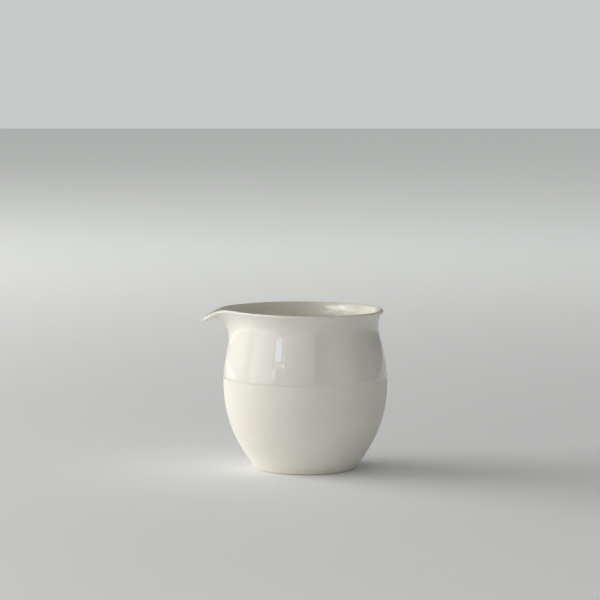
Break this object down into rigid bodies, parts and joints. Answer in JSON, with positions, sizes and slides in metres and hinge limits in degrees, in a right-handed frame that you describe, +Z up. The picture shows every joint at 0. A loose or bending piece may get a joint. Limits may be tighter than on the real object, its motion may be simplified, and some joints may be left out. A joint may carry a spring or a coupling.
{
  "type": "ceramic pitcher",
  "caption": "Small handleless porcelain pitcher: full belly, short neck, flared lip with a pulled beak, glazed upper half, bare matt lower half and trimmed foot ring.",
  "frame": {"origin": "centre of the standing face under the foot, on the table", "axes": "+Z up through the rim; the beak pours toward -X; Y is across the beak"},
  "size_m": [0.0924, 0.0822, 0.0804],
  "materials": {
    "clay_body": "bare fired porcelain, matt, very fine grain",
    "clay_beak": "bare fired porcelain, hidden under the glaze",
    "clay_foot": "bare fired porcelain, trimmed and wiped",
    "glaze_inside": "clear glossy glaze over white porcelain",
    "glaze_outside": "clear glossy glaze over white porcelain"
  },
  "bodies": {
    "root": {"barrel": "clay_body", "pouring_spout": "clay_beak", "foot_ring": "clay_foot", "lining_glaze": "glaze_inside", "outer_glaze": "glaze_outside"}
  },
  "joints": []
}
